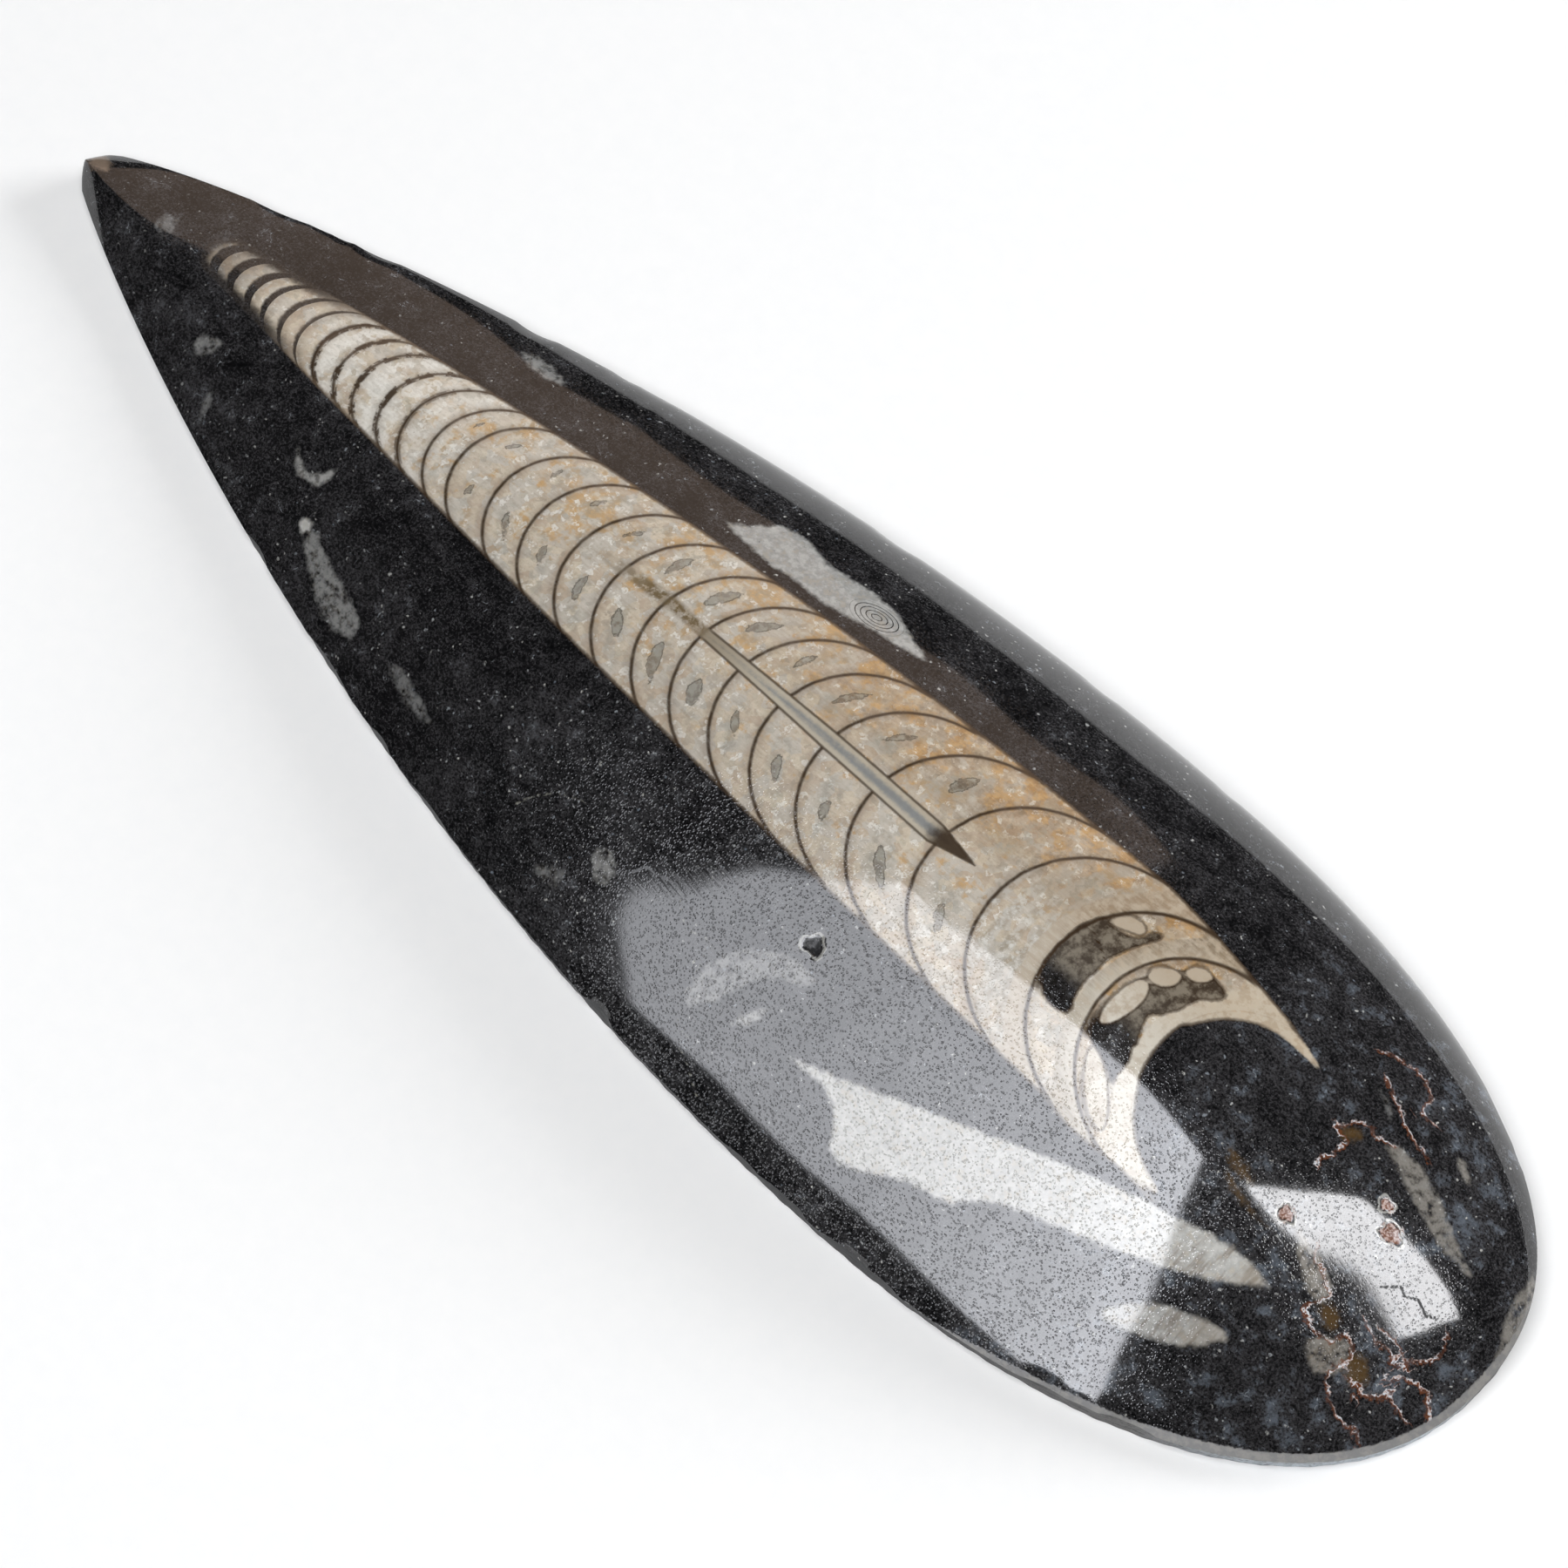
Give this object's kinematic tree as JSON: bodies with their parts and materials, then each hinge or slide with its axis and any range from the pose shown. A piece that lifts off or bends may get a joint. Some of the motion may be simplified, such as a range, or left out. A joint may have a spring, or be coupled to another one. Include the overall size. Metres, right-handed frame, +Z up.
{
  "type": "orthoceras fossil",
  "caption": "Polished teardrop plaque of black limestone with a straight chambered shell in its domed face, lying on a flat sawn base.",
  "frame": {"origin": "middle of the bounding box in plan, at the height of the sawn base", "axes": "+X runs along the plaque from the pointed tip to the round butt, +Z is up through the domed face, and +Y is across it"},
  "size_m": [0.165, 0.0516, 0.0145],
  "materials": {
    "black_limestone": "hand polished"
  },
  "bodies": {
    "root": {"orthoceras_plaque": "black_limestone"}
  },
  "joints": []
}
